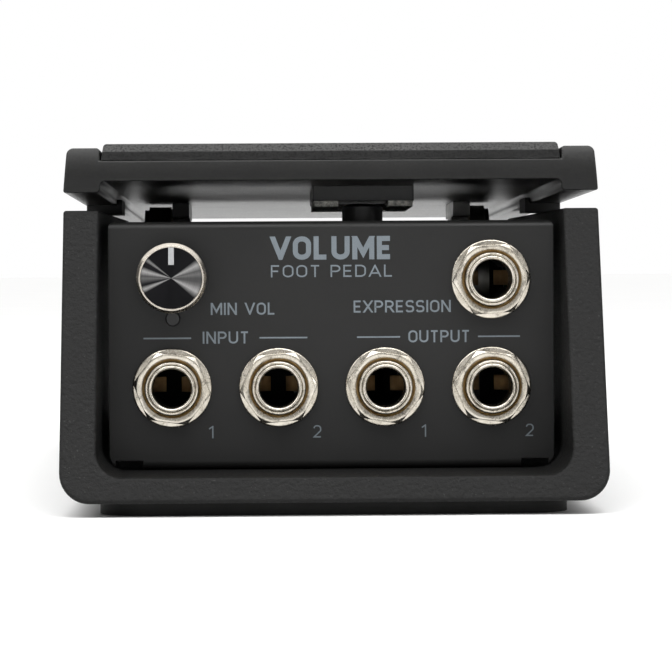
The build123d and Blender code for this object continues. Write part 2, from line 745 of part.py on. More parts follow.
def hinge_shaft():
    shaft = rod_x(SHAFT_HINGE_R, CLIPS[0] - SHAFT_END, CLIPS[1] + CLIP_T + SHAFT_END, AXIS_Y, AXIS_Z)
    for x in CLIPS:
        ring = rod_x(SHAFT_HINGE_R + 1, x, x + CLIP_T, AXIS_Y, AXIS_Z)
        shaft -= ring - rod_x(SHAFT_HINGE_R - GROOVE_IN, x - 1, x + 2, AXIS_Y, AXIS_Z)
    return chamfer(shaft.edges().filter_by(GeomType.CIRCLE).group_by(Axis.X)[0], 0.4)


def shaft_clip(x):
    """Snap ring in a groove of the hinge shaft."""
    ring = rod_x(CLIP_R, x, x + CLIP_T, AXIS_Y, AXIS_Z)
    ring -= rod_x(SHAFT_HINGE_R - GROOVE_IN, x - 1, x + 2, AXIS_Y, AXIS_Z)
    return ring - block(x - 1, x + 2, AXIS_Y - 1.6, AXIS_Y + 1.6, AXIS_Z - 8, AXIS_Z)


def hinge_lug(side):
    """Lug under the deck, with a long foot, that holds the hinge shaft."""
    inner = HINGE_X - STACKS[side] / 2
    x0, x1 = sorted((side * inner, side * (inner + LUG_T)))
    r = HINGE_HEAD_R
    lug = block(x0, x1, AXIS_Y - r, AXIS_Y + r, AXIS_Z, PLATE_BOTTOM)
    y0, y1 = AXIS_Y - LUG_HALF_LENGTH, AXIS_Y + LUG_HALF_LENGTH
    lug += block(x0, x1, y0, y1, PLATE_BOTTOM - LUG_FOOT_T, PLATE_BOTTOM)
    lug += rod_x(r, x0, x1, AXIS_Y, AXIS_Z)
    lug -= rod_x(SHAFT_HINGE_R, x0 - 1, x1 + 1, AXIS_Y, AXIS_Z)
    for x, y in LUG_SCREWS:
        if x * side > 0:
            lug -= rod_z(M25, x, y, PLATE_BOTTOM - LUG_FOOT_T - 1, PLATE_BOTTOM + 1)
    return lug


# ---- Treadle ------------------------------------------------------------

def deck_section():
    """Front view of the deck: a plate between two rails, with a pocket for the mat."""
    top_half = HALF - RAIL_FLARE
    right = [
        (RAIL_INNER, PLATE_BOTTOM),
        (RAIL_INNER, RAIL_BOTTOM),
        (HALF, RAIL_BOTTOM),
        (top_half, RAIL_TOP),
        (RAIL_INNER, RAIL_TOP),
        (RAIL_INNER, PLATE_TOP),
    ]
    left = [(-x, z) for x, z in reversed(right)]
    section = make_face(Polyline(*(right + left), close=True))
    for x, z, radius in (
        (RAIL_INNER, PLATE_BOTTOM, 0.95),
        (RAIL_INNER, RAIL_BOTTOM, 0.65),
        (HALF, RAIL_BOTTOM, 0.35),
        (top_half, RAIL_TOP, 1.2),
        (RAIL_INNER, RAIL_TOP, 0.65),
    ):
        corners = [v for v in section.vertices() if abs(abs(v.X) - x) < 0.01 and abs(v.Y - z) < 0.01]
        section = fillet(corners, radius)
    return section


def crown_depth(z):
    """How far the crowned end of the deck falls back at a height."""
    return CROWN_R - math.sqrt(CROWN_R ** 2 - (z - CROWN_Z) ** 2)


def crowned_side():
    """Side view of the deck, its ends slightly crowned."""
    low, high = RAIL_BOTTOM - 1, RAIL_TOP + 1
    toe = [(TOE_Y + crown_depth(z), z) for z in (low, CROWN_Z, high)]
    heel = [(HEEL_Y - crown_depth(z), z) for z in (high, CROWN_Z, low)]
    plane = Plane.YZ.offset(-HALF - 1)
    edges = [
        ThreePointArc(*toe),
        Line(toe[-1], heel[0]),
        ThreePointArc(*heel),
        Line(heel[-1], toe[0]),
    ]
    face = make_face([plane * e for e in edges])
    return extrude(face, amount=WIDTH + 2, dir=(1, 0, 0))


def treadle_plate():
    """Extruded deck with a rail along each side and a pocket for the mat."""
    deck = front_slab(deck_section(), TOE_Y - 1, HEEL_Y + 1) & crowned_side()
    ends = [
        f for f in deck.faces().filter_by(GeomType.CYLINDER)
        if min(abs(f.center().Y - TOE_Y), abs(f.center().Y - HEEL_Y)) < 1.5 and f.area > 300
    ]
    deck = fillet([e for f in ends for e in f.edges()], DECK_EDGE_R)
    for x, y in LUG_SCREWS:
        deck -= screw_sink(x, y, PLATE_TOP, PLATE_BOTTOM - 1, M25, True)
    return at_rest(deck)


def treadle_mat():
    """Rubber mat with cross ribs, bevelled ends and rounded long edges."""
    y0, y1 = TOE_Y + MAT_INSET, HEEL_Y - MAT_INSET
    outline = [(y0, PLATE_TOP), (y0, MAT_TOP - MAT_BEVEL), (y0 + MAT_BEVEL, MAT_TOP)]
    y = y0 + FIRST_GROOVE
    while y + RIB_PITCH < y1:
        outline += [
            (y, MAT_TOP),
            (y + GROOVE_DRAFT, MAT_TOP - GROOVE_DEPTH),
            (y + GROOVE_W - GROOVE_DRAFT, MAT_TOP - GROOVE_DEPTH),
            (y + GROOVE_W, MAT_TOP),
        ]
        y += RIB_PITCH
    outline += [(y1 - MAT_BEVEL, MAT_TOP), (y1, MAT_TOP - MAT_BEVEL), (y1, PLATE_TOP)]
    ribbed = side_slab(outline, -MAT_W / 2, MAT_W / 2)
    low, high = MAT_W / 2, MAT_W / 2 - MAT_SIDE_SLOPE
    section = make_face(
        Polyline((-low, PLATE_TOP), (low, PLATE_TOP), (high, MAT_TOP), (-high, MAT_TOP), close=True)
    )
    section = fillet(section.vertices().group_by(Axis.Y)[-1], MAT_CORNER_R)
    return at_rest(ribbed & front_slab(section, y0 - 1, y1 + 1))


def slide_block():
    """Moulded block whose underside rides on the plunger."""
    x0, x1 = POST_X - BLOCK_HALF, POST_X + BLOCK_HALF
    holder = block(x0, x1, BLOCK_FRONT, BLOCK_REAR, SLIDE_BOTTOM, PLATE_BOTTOM)
    return at_rest(fillet(holder.edges().filter_by(Axis.Z), BLOCK_CORNER_R))


def slide_felt():
    """Felt pad under the slide block, slotted for the plunger."""
    x0, x1 = POST_X - BLOCK_HALF + FELT_EDGE, POST_X + BLOCK_HALF - FELT_EDGE
    y0, y1 = BLOCK_FRONT + FELT_EDGE, BLOCK_REAR - FELT_EDGE
    felt = block(x0, x1, y0, y1, SLIDE_BOTTOM - FELT_T, SLIDE_BOTTOM)
    felt = fillet(felt.edges().filter_by(Axis.Z), BLOCK_CORNER_R)
    slot_x0, slot_x1 = POST_X - FELT_SLOT_HALF, POST_X + FELT_SLOT_HALF
    slot = block(slot_x0, slot_x1, BLOCK_FRONT - 1, BLOCK_REAR - 10, SLIDE_BOTTOM - 2, SLIDE_BOTTOM + 1)
    return at_rest(felt - slot)


def toe_bumper(side):
    """Rubber stop under a rail, with a lip against the rail's inner side."""
    y0, y1 = TOE_BUMPER_FRONT, TOE_BUMPER_REAR
    lip_x = RAIL_INNER - BUMPER_LIP
    lip_top = RAIL_BOTTOM + 1.0
    section = [
        (HALF - 0.5, RAIL_BOTTOM),
        (HALF - 0.5, RAIL_BOTTOM - BUMPER_T),
        (lip_x, RAIL_BOTTOM - BUMPER_T),
        (lip_x, lip_top),
        (RAIL_INNER, lip_top),
        (RAIL_INNER, RAIL_BOTTOM),
    ]
    face = make_face(Polyline(*[(side * x, z) for x, z in section], close=True))
    bumper = at_rest(front_slab(face, y0, y1))
    return bumper & block(-HALF, HALF, y0 - 5, y1 + 5, WALL_TOP + BUMPER_GAP, RAIL_TOP)


def heel_bumper(side):
    """Rubber stop on the sloping top of a side wall."""

    def on_slope(distance, height):
        out = TOP_OVER_AXIS + height
        y = AXIS_Y + distance * math.cos(FALL) + out * math.sin(FALL)
        return (y, AXIS_Z - distance * math.sin(FALL) + out * math.cos(FALL))

    outline = [
        on_slope(HEEL_BUMPER_NEAR, 0),
        on_slope(HEEL_BUMPER_FAR, 0),
        on_slope(HEEL_BUMPER_FAR, BUMPER_T),
        on_slope(HEEL_BUMPER_NEAR, BUMPER_T),
    ]
    ends = sorted((side * (HALF - 0.8), side * (INNER + 0.4)))
    return side_slab(outline, ends[0], ends[1])


# ---- Write every piece --------------------------------------------------

save(base_frame(), "base_frame")
save(bottom_pad(), "bottom_pad")
save(jack_panel(), "jack_panel")
save(rear_shield(), "rear_shield")
for name, (jx, jz) in JACKS.items():
    save(jack_body(jx, jz), name)
    save(jack_bushing(jx, jz), name + "_bushing")
spots = list(JACKS.values())
save(group([jack_contact(x, z, s) for x, z in spots for s in (1, -1)]), "jack_contacts")
save(group([jack_nut(x, z, t) for (x, z), t in zip(spots, NUT_TURNS)]), "jack_nuts")
save(group([jack_washer(x, z) for x, z in spots]), "jack_washers")
save(jack_board(), "jack_board")
save(group([board_part(x, z, 6.0) for x in (-18.0, -4.0) for z in (34.0, 20.5)]), "board_resistors")
save(min_vol_pot(), "min_vol_pot")
save(min_vol_nut(), "min_vol_nut")
save(min_vol_shaft(), "min_vol_shaft")
save(min_vol_knob(), "min_vol_knob")
save(min_vol_cap(), "min_vol_cap")
save(min_vol_pointer(), "min_vol_pointer")
save(rack_plunger(), "rack_plunger")
save(pinion_gear(), "pinion_gear")
save(volume_pot_shaft(), "volume_pot_shaft")
save(pot_bracket(), "pot_bracket")
save(volume_pot(), "volume_pot")
save(volume_pot_nut(), "volume_pot_nut")
save(volume_pot_terminals(), "volume_pot_terminals")
save(rewind_spring(), "rewind_spring")
save(plunger_guide(), "plunger_guide")
save(plunger_bush(), "plunger_bush")
save(signal_ribbon(), "signal_ribbon")
for side, word in ((-1, "left"), (1, "right")):
    save(hinge_pillar(side), "hinge_pillar_" + word)
    save(at_rest(hinge_lug(side)), "hinge_lug_" + word)
    save(toe_bumper(side), "toe_bumper_" + word)
    save(heel_bumper(side), "heel_bumper_" + word)
save(group([hinge_bush(s) for s in STACKS]), "hinge_bushes")
save(group([friction_washer(s) for s in STACKS]), "friction_washers")
save(
    group([countersunk_screw(x, y, BASE_BOTTOM, FLOOR + 4.4, M4, False) for x, y in PILLAR_SCREWS]),
    "pillar_screws",
)
save(
    group([countersunk_screw(x, y, BASE_BOTTOM, FLOOR + 3.2, M3, False) for x, y in CHASSIS_SCREWS]),
    "chassis_screws",
)
save(hinge_shaft(), "hinge_shaft")
save(group([shaft_clip(x) for x in CLIPS]), "shaft_clips")
save(
    group([
        at_rest(countersunk_screw(x, y, PLATE_TOP, PLATE_BOTTOM - LUG_FOOT_T + 0.4, M25, True))
        for x, y in LUG_SCREWS
    ]),
    "lug_screws",
)
save(treadle_plate(), "treadle_plate")
save(treadle_mat(), "treadle_mat")
save(slide_block(), "slide_block")
save(slide_felt(), "slide_felt")
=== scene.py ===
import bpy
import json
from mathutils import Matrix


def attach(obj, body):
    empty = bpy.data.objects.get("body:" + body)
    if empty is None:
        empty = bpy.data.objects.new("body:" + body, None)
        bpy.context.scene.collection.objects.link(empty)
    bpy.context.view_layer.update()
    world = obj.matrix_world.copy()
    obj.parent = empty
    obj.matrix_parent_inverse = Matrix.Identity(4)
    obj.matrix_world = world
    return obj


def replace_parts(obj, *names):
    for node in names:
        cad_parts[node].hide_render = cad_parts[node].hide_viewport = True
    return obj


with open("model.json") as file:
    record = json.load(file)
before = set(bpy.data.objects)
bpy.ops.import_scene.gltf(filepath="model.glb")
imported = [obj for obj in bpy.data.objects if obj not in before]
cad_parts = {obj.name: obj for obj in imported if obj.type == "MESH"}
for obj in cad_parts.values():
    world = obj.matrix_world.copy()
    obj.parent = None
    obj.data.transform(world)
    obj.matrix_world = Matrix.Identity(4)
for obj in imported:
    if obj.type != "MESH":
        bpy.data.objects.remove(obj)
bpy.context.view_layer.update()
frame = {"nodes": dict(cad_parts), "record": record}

import json
import math

import bmesh
import bpy
from mathutils import Matrix, Quaternion, Vector

# Millimetres in the frame of the CAD, turned into metres where a mesh is made.
MM = 0.001
PANEL_Y = -107.5
WASHER_T = 0.8
NUT_T = 2.2
NUT_ACROSS_FLATS = 11.5
NUT_CORNER_R = 0.45
NUT_BORE_R = 4.53
COUNTERSINK_R = 4.88
NUT_FLAT_R = 5.9
CHAMFER_DEGREES = 30
JACKS = ["input_jack_1", "input_jack_2", "output_jack_1", "output_jack_2", "expression_jack"]
JACK_SPOTS = {m["name"][:-5]: (m["pos_m"][0] / MM, m["pos_m"][2] / MM)
              for m in frame["record"]["mounts"] if m["name"].endswith("_bore")}
NUT_TURNS = [52.0, 5.0, 51.0, 53.0, 3.5]
KNOB = (-26.8, 38.9)


# ---- Materials ------------------------------------------------------------

class Look:
    """A material, built up node by node in object coordinates."""

    def __init__(self, name):
        self.material = bpy.data.materials.new(name)
        self.material.use_nodes = True
        self.tree = self.material.node_tree
        self.surface = self.tree.nodes["Principled BSDF"]
        self.place = self.node("ShaderNodeTexCoord").outputs["Object"]

    def put(self, node, key, value):
        socket = node.inputs[key]
        if isinstance(value, bpy.types.NodeSocket):
            self.tree.links.new(value, socket)
        elif isinstance(value, tuple) and len(value) == 3 and socket.type == "RGBA":
            socket.default_value = (*value, 1.0)
        else:
            socket.default_value = value

    def node(self, kind, settings=None, inputs=None):
        n = self.tree.nodes.new(kind)
        for key, value in (settings or {}).items():
            setattr(n, key, value)
        for key, value in (inputs or {}).items():
            self.put(n, key, value)
        return n

    def set(self, **inputs):
        for key, value in inputs.items():
            self.put(self.surface, key.replace("_", " "), value)

    def math(self, operation, a, b=0.0):
        return self.node("ShaderNodeMath", {"operation": operation}, {0: a, 1: b}).outputs[0]

    def vector(self, operation, a, b=(0.0, 0.0, 0.0)):
        n = self.node("ShaderNodeVectorMath", {"operation": operation}, {0: a, 1: b})
        return n.outputs["Value" if operation in ("DOT_PRODUCT", "LENGTH") else "Vector"]

    def stretch(self, x, y, z):
        return self.node("ShaderNodeMapping", None, {"Vector": self.place, "Scale": (x, y, z)}).outputs[0]

    def noise(self, scale, detail=2.0, roughness=0.5, at=None):
        n = self.node("ShaderNodeTexNoise", None, {
            "Vector": at or self.place, "Scale": scale, "Detail": detail, "Roughness": roughness})
        return n.outputs["Fac"]

    def remap(self, value, low, high, to_low=0.0, to_high=1.0):
        n = self.node("ShaderNodeMapRange", None, {0: value, 1: low, 2: high, 3: to_low, 4: to_high})
        return n.outputs[0]

    def mix(self, factor, a, b):
        n = self.node("ShaderNodeMix", {"data_type": "RGBA"}, {0: factor, 6: a, 7: b})
        return n.outputs[2]

    def bump(self, height, depth, normal=None):
        inputs = {"Height": height, "Distance": depth * MM}
        if normal is not None:
            inputs["Normal"] = normal
        return self.node("ShaderNodeBump", None, inputs).outputs[0]

    def soft_edges(self, radius):
        return self.node("ShaderNodeBevel", {"samples": 4}, {"Radius": radius * MM}).outputs[0]

    def scale(self, tone, factor):
        """Tone multiplied by a single value."""
        grey = self.node("ShaderNodeCombineXYZ", None, {0: factor, 1: factor, 2: factor}).outputs[0]
        return self.vector("MULTIPLY", tone, grey)

    def dust_and_painted_light(self, tone, low, high, below, above):
        """Painted light and shade: tone made paler where the surface turns upwards, from one slope of its
        normal to another.
        """
        normal = self.node("ShaderNodeNewGeometry").outputs["Normal"]
        up = self.vector("DOT_PRODUCT", normal, (0.0, 0.0, 1.0))
        return self.scale(tone, self.remap(up, low, high, below, above))

    def edge_mask(self, radius, patchy):
        """1 along edges, broken up by a noise."""
        rounded = self.soft_edges(radius)
        flat = self.node("ShaderNodeNewGeometry").outputs["Normal"]
        along = self.remap(self.vector("DOT_PRODUCT", rounded, flat), 0.99, 0.86)
        return self.math("MULTIPLY", along, self.remap(self.noise(patchy, 3.0, 0.65), 0.42, 0.66))


def shade(colour, factor):
    return tuple(min(1.0, c * factor) for c in colour)


def finish(name, colour, rough, metallic=0.0, mottle=0.12, mottle_scale=70.0, grain=0.14,
           grain_scale=2400.0, depth=0.02, lines=None, edge=0.2, worn=None, wear=0.5, specular=0.5,
           vary=0.06, painted_slope_light=None):
    """Varied surface: broad mottling, fine grain with a bump, softened and worn edges."""
    look = Look(name)
    broad = look.noise(mottle_scale, 4.0, 0.55)
    fine = look.noise(grain_scale, 2.0, 0.6, look.stretch(*lines) if lines else None)
    tone = look.mix(look.remap(broad, 0.3, 0.7), shade(colour, 1 - mottle), shade(colour, 1 + mottle))
    tone = look.scale(tone, look.remap(fine, 0.3, 0.7, 1 - grain, 1 + grain))
    # Painted light and shade by slope: upward faces paler, steeper and downward faces darker.
    if painted_slope_light:
        tone = look.dust_and_painted_light(tone, *painted_slope_light)
    roughness = look.math("ADD", look.remap(broad, 0.3, 0.7, -vary, vary),
                          look.remap(fine, 0.3, 0.7, rough - 0.05, rough + 0.05))
    if worn:
        mask = look.math("MULTIPLY", look.edge_mask(edge * 1.5, 420.0), wear)
        tone = look.mix(mask, tone, worn)
        roughness = look.math("SUBTRACT", roughness, look.math("MULTIPLY", mask, 0.15))
    look.set(Base_Color=tone, Roughness=roughness, Metallic=metallic, Specular_IOR_Level=specular)
    look.set(Normal=look.bump(fine, depth, look.soft_edges(edge)))
    return look


def metal(name, colour, rough, scratch=0.25, tarnish=None, depth=0.004, edge=0.12, grime=0.0):
    """Plated or bare metal with fine scratches, smudges and a little tarnish."""
    look = Look(name)
    smudge = look.noise(260.0, 5.0, 0.6)
    pits = look.noise(3800.0, 2.0, 0.55)
    hair = look.noise(900.0, 3.0, 0.7, look.stretch(7.0, 0.35, 1.2))
    tone = look.mix(look.remap(smudge, 0.35, 0.7), colour, tarnish or shade(colour, 0.8))
    tone = look.scale(tone, look.remap(pits, 0.24, 0.34, 0.72, 1.0))
    if grime:
        patches = look.math("MULTIPLY", look.remap(look.noise(620.0, 5.0, 0.7), 0.5, 0.62, 0.0, grime),
                            look.remap(look.noise(2300.0, 3.0, 0.6), 0.35, 0.6))
        tone = look.mix(patches, tone, shade(tarnish or colour, 0.3))
    streaks = look.remap(hair, 0.35, 0.75, 0.0, scratch * 0.4)
    roughness = look.math("ADD", look.remap(smudge, 0.3, 0.75, rough * 0.75, rough * 1.35), streaks)
    look.set(Base_Color=tone, Roughness=roughness, Metallic=1.0)
    look.set(Normal=look.bump(look.math("ADD", hair, pits), depth, look.soft_edges(edge)))
    return look


def powder_coat():
    """Black powder coat: a fine pebbled texture with a faint sparkle."""
    look = Look("powder_coat")
    pebble = look.noise(1500.0, 2.0, 0.5)
    fine = look.noise(4200.0, 2.0, 0.6)
    broad = look.noise(26.0, 4.0, 0.6)
    tone = look.mix(look.remap(broad, 0.3, 0.7), (0.0066, 0.0066, 0.0065), (0.0088, 0.0088, 0.0086))
    tone = look.mix(look.remap(pebble, 0.25, 0.75), (0.0035, 0.0035, 0.0034), tone)
    speck = look.remap(look.noise(2900.0, 1.0, 0.4), 0.7, 0.78)
    tone = look.mix(speck, tone, (0.035, 0.035, 0.034))
    worn = look.math("MULTIPLY", look.edge_mask(0.5, 160.0), 0.35)
    tone = look.mix(worn, tone, (0.045, 0.045, 0.044))
    look.set(Base_Color=tone, Roughness=look.remap(pebble, 0.2, 0.8, 0.46, 0.62), Specular_IOR_Level=0.17)
    height = look.math("ADD", pebble, look.math("MULTIPLY", fine, 0.35))
    look.set(Normal=look.bump(height, 0.17, look.soft_edges(0.35)))
    return look


def ribbed_rubber():
    """Mat rubber: matt, finely pored, paler where shoes have rubbed it; painted light makes its upward faces
    paler and painted shade its steep faces darker.
    """
    look = Look("mat_rubber")
    pores = look.noise(2600.0, 3.0, 0.6)
    rub = look.noise(34.0, 5.0, 0.62)
    tone = look.mix(look.remap(rub, 0.35, 0.68), (0.012, 0.012, 0.0117), (0.021, 0.021, 0.0205))
    tone = look.mix(look.remap(pores, 0.4, 0.52), (0.003, 0.003, 0.003), tone)
    # Painted light and shade: tone halved on steep and downward faces, up to 3.4 times paler on faces turned
    # up.
    tone = look.dust_and_painted_light(tone, 0.1, 0.8, 0.5, 3.4)
    tone = look.mix(look.math("MULTIPLY", look.edge_mask(0.4, 240.0), 0.6), tone, (0.07, 0.07, 0.069))
    look.set(Base_Color=tone, Roughness=look.remap(rub, 0.3, 0.7, 0.5, 0.66), Specular_IOR_Level=0.25)
    look.set(Normal=look.bump(pores, 0.09, look.soft_edges(0.3)))
    return look


def turned(look, centre, pitch, depth, normal):
    """Fine concentric grooves about an axis along Y."""
    away = look.vector("MULTIPLY", look.vector("SUBTRACT", look.place, centre), (1.0, 0.0, 1.0))
    radius = look.vector("LENGTH", away)
    grooves = look.node("ShaderNodeTexNoise", {"noise_dimensions": "1D"}, {
        "W": radius, "Scale": 1 / (pitch * MM), "Detail": 3.0, "Roughness": 0.6}).outputs["Fac"]
    return away, grooves, look.bump(grooves, depth, normal)


# Painted highlight on the turned disc, fans of light drawn into its colour: middle and half width of each
# lobe in degrees, and its strength.
PAINTED_HIGHLIGHT_FANS = [(26.0, 11.0, 0.8), (8.0, 16.0, 0.3), (-16.0, 16.0, 0.3), (-29.0, 13.0, 0.75), (166.0, 9.0, 0.8),
        (180.0, 12.0, 0.25), (143.0, 5.0, 0.55), (202.0, 7.0, 0.75)]


def spun_cap():
    """Black anodised disc, finely turned, with a painted highlight drawn into its colour that fans out from
    its centre.
    """
    look = Look("spun_cap")
    centre = (KNOB[0] * MM, 0.0, KNOB[1] * MM)
    away, grooves, normal = turned(look, centre, 0.12, 0.0012, look.soft_edges(0.06))
    around = look.vector("CROSS_PRODUCT", away, (0.0, 1.0, 0.0))
    to_world = {"vector_type": "VECTOR", "convert_from": "OBJECT", "convert_to": "WORLD"}
    tangent = look.node("ShaderNodeVectorTransform", to_world, {"Vector": around}).outputs[0]
    dust_and_painted_light = look.noise(1400.0, 3.0, 0.6)
    across, _, up = look.node("ShaderNodeSeparateXYZ", None, {0: away}).outputs
    turn = look.math("ARCTAN2", up, across)
    # Painted highlight: bright lobes by angle around the knob's axis, varied by the grooves and radial
    # streaks.
    painted_highlight = 0.0
    for middle, half, strength in PAINTED_HIGHLIGHT_FANS:
        past = look.math("SUBTRACT", turn, math.radians(middle))
        wrap = look.node("ShaderNodeMath", {"operation": "WRAP"}, {0: past, 1: -math.pi, 2: math.pi})
        lobe = look.remap(look.math("ABSOLUTE", wrap.outputs[0]), math.radians(half), 0.0, 0.0, strength)
        painted_highlight = look.math("ADD", lobe, painted_highlight)
    streaks = look.noise(1.0, 3.0, 0.6, look.vector("NORMALIZE", away))
    painted_highlight = look.math("MULTIPLY", painted_highlight, look.remap(grooves, 0.3, 0.7, 0.75, 1.2))
    painted_highlight = look.math("MULTIPLY", painted_highlight, look.remap(streaks, 0.3, 0.7, 0.85, 1.1))
    # Base colour runs from near black to pale grey under the painted highlight.
    tone = look.mix(painted_highlight, (0.012, 0.012, 0.013), (0.36, 0.355, 0.35))
    look.set(Base_Color=tone, Metallic=1.0, Roughness=look.remap(dust_and_painted_light, 0.3, 0.7, 0.36, 0.42))
    look.set(Anisotropic=0.97, Tangent=tangent, Normal=normal)
    return look


LOOKS = {
    "black_powder_coat": powder_coat(),
    "panel_black": finish("panel_paint", (0.0105, 0.0105, 0.0103), 0.42, mottle=0.07, grain=0.07,
                          grain_scale=3400.0, depth=0.004, edge=0.3, worn=(0.05, 0.05, 0.049), wear=0.3,
                          specular=0.26),
    # Painted light and shade on the treadle: upward faces up to 2.6 times paler, downward faces down to a
    # fifth of the tone.
    "treadle_black": finish("treadle_anodised", (0.009, 0.009, 0.0088), 0.34, mottle=0.08, grain=0.14,
                            grain_scale=2600.0, depth=0.003, edge=0.3, worn=(0.06, 0.06, 0.058),
                            wear=0.4, specular=0.26, vary=0.012, painted_slope_light=(-0.1, 0.33, 0.2, 2.6)),
    "mat_rubber": ribbed_rubber(),
    "pad_rubber": finish("pad_rubber", (0.0085, 0.0085, 0.008), 0.66, mottle=0.2, grain=0.3,
                         grain_scale=1900.0, depth=0.06, edge=0.3, worn=(0.03, 0.03, 0.029), specular=0.3),
    "bumper_rubber": finish("bumper_rubber", (0.012, 0.012, 0.012), 0.6, grain=0.2, depth=0.03, edge=0.4,
                            worn=(0.035, 0.035, 0.034), specular=0.35),
    "nickel": metal("nickel", (0.6, 0.56, 0.49), 0.2, tarnish=(0.46, 0.42, 0.35), grime=0.75),
    "zinc_steel": metal("zinc_steel", (0.58, 0.59, 0.6), 0.32, tarnish=(0.5, 0.49, 0.45), depth=0.008),
    "jack_plastic": finish("jack_nylon", (0.013, 0.013, 0.013), 0.5, depth=0.02, edge=0.25,
                           worn=(0.04, 0.04, 0.04)),
    "contact_brass": metal("phosphor_bronze", (0.5, 0.4, 0.27), 0.42, tarnish=(0.32, 0.24, 0.15)),
    "board": finish("solder_mask", (0.012, 0.07, 0.03), 0.3, mottle=0.25, mottle_scale=240.0, depth=0.01,
                    edge=0.15, worn=(0.3, 0.26, 0.14)),
    "resistor": finish("resistor_lacquer", (0.12, 0.3, 0.5), 0.28, mottle=0.2, mottle_scale=500.0,
                       depth=0.01),
    "pot_metal": metal("stamped_steel", (0.5, 0.5, 0.48), 0.36, tarnish=(0.36, 0.35, 0.32), depth=0.01),
    "guide_plastic": finish("natural_acetal", (0.62, 0.6, 0.52), 0.42, mottle=0.06, grain=0.05,
                            depth=0.01, worn=(0.4, 0.38, 0.32)),
    "slide_plastic": finish("black_acetal", (0.012, 0.012, 0.012), 0.42, depth=0.012, edge=0.3,
                            worn=(0.05, 0.05, 0.05)),
    "felt": finish("felt", (0.6, 0.59, 0.55), 0.92, mottle=0.3, mottle_scale=420.0, grain=0.5,
                   grain_scale=1500.0, depth=0.18, edge=0.3, specular=0.15),
    "pillar_black": finish("pillar_anodised", (0.022, 0.022, 0.022), 0.4, lines=(1.0, 1.0, 0.04),
                           depth=0.012, edge=0.3, worn=(0.2, 0.2, 0.195)),
    # Painted light: this hinge pillar, black-painted like its pair, is made a pale grey metal so that it
    # reads as lit.
    "pillar_grey": metal("lit_pillar_grey", (0.34, 0.34, 0.33), 0.4, scratch=0.5, depth=0.01, edge=0.3),
    "bronze_bush": metal("sintered_bronze", (0.5, 0.33, 0.17), 0.4, tarnish=(0.3, 0.2, 0.1), depth=0.02),
    "rack_black": finish("rack_acetal", (0.014, 0.014, 0.014), 0.36, lines=(1.0, 1.0, 0.05), depth=0.008,
                         edge=0.15, worn=(0.07, 0.07, 0.07)),
    "pinion_white": finish("white_acetal", (0.7, 0.69, 0.64), 0.4, mottle=0.05, grain=0.05, depth=0.008,
                           edge=0.12, worn=(0.45, 0.44, 0.4)),
    "spring_steel": metal("blued_steel", (0.16, 0.18, 0.26), 0.3, tarnish=(0.22, 0.16, 0.12)),
    "ribbon": finish("ribbon_vinyl", (0.2, 0.2, 0.21), 0.45, grain=0.2, grain_scale=1200.0,
                     lines=(1.0, 0.03, 0.03), depth=0.1),
    "knob_black": finish("knob_skirt", (0.015, 0.015, 0.015), 0.33, lines=(0.2, 3.0, 0.2), grain=0.2,
                         depth=0.006, edge=0.1, worn=(0.08, 0.08, 0.08)),
    "knob_cap": spun_cap(),
    "pointer": finish("pointer_inlay", (0.3, 0.305, 0.31), 0.4, mottle=0.06, grain=0.06, depth=0.006,
                      edge=0.1),
}
BRASS_EDGE = metal("worn_through_edge", (0.62, 0.43, 0.2), 0.42, tarnish=(0.5, 0.33, 0.14), depth=0.003,
                   edge=0.05)
RIM = metal("bright_cut_rim", (0.62, 0.57, 0.5), 0.2, depth=0.003, edge=0.05)
PRINT = finish("legend_ink", (0.125, 0.148, 0.166), 0.5, mottle=0.07, mottle_scale=320.0, grain=0.1,
               grain_scale=5200.0, depth=0.008, edge=0.02)

for part in frame["record"]["subparts"]:
    node = frame["nodes"][part["node"]]
    for place in node.material_slots:
        place.material = LOOKS[part["material_slot"]].material


# ---- New pieces -------------------------------------------------------------

def piece(name, verts, faces, look, body, slot=None, sharp=32.0):
    """Mesh from millimetre points, riding on a CAD body."""
    mesh = bpy.data.meshes.new(name)
    mesh.from_pydata([(x * MM, y * MM, z * MM) for x, y, z in verts], [], faces)
    work = bmesh.new()
    work.from_mesh(mesh)
    bmesh.ops.recalc_face_normals(work, faces=work.faces)
    work.to_mesh(mesh)
    work.free()
    mesh.polygons.foreach_set("use_smooth", [True] * len(mesh.polygons))
    mesh.set_sharp_from_angle(angle=math.radians(sharp))
    mesh.materials.append(look.material)
    made = bpy.data.objects.new(name, mesh)
    bpy.context.scene.collection.objects.link(made)
    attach(made, body)
    return made


def rounded(corners, steps=5):
    """Closed outline through (a, b, radius) corners, each rounded by its radius."""
    points = []
    count = len(corners)
    for i, (a, b, r) in enumerate(corners):
        here = Vector((a, b))
        if r == 0:
            points.append((a, b))
            continue
        back = (Vector(corners[i - 1][:2]) - here).normalized()
        ahead = (Vector(corners[(i + 1) % count][:2]) - here).normalized()
        half = back.angle(ahead) / 2
        start, end = here + back * r / math.tan(half), here + ahead * r / math.tan(half)
        middle = here + (back + ahead).normalized() * r / math.sin(half)
        first, last = start - middle, end - middle
        turn = first.angle_signed(last)
        for k in range(steps + 1):
            arm = first.copy()
            arm.rotate(Matrix.Rotation(-turn * k / steps, 2))
            points.append(tuple(middle + arm))
    return points


def ring_mesh(rings):
    """Vertices and faces of a closed tube of rings."""
    verts, faces = [], []
    n = len(rings[0])
    for ring in rings:
        verts += ring
    for i in range(len(rings)):
        j = (i + 1) % len(rings)
        for k in range(n):
            m = (k + 1) % n
            faces.append((i * n + k, i * n + m, j * n + m, j * n + k))
    return verts, faces


